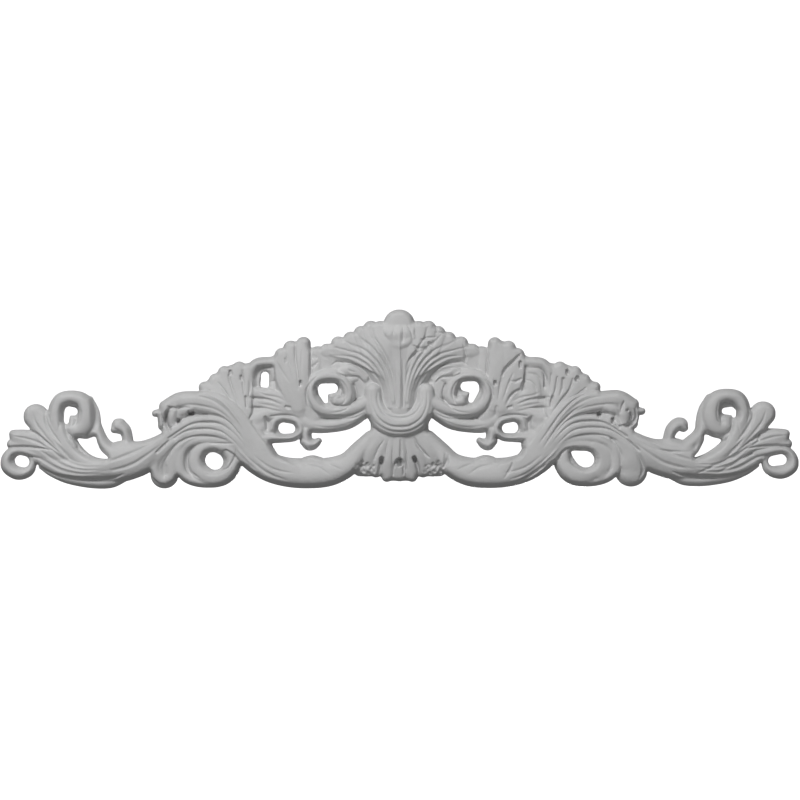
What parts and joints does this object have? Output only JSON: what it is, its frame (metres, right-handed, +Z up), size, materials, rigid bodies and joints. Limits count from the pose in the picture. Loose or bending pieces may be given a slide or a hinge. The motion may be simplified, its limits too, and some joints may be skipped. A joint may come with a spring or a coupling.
{
  "type": "onlay applique",
  "caption": "Carved scroll-and-leaf onlay, cast in one piece with a flat back, to be fixed on a wall, a door head, furniture or a chimney piece.",
  "frame": {"origin": "the middle of the flat back, where the piece lies against the wall", "axes": "+X to the viewer's right along the length, +Y out of the flat back into the wall (the carved front faces -Y), +Z up"},
  "size_m": [0.9189, 0.03, 0.207],
  "materials": {
    "primed_casting": "matte grey primer on a light casting"
  },
  "bodies": {
    "root": {"applique": "primed_casting"}
  },
  "joints": []
}
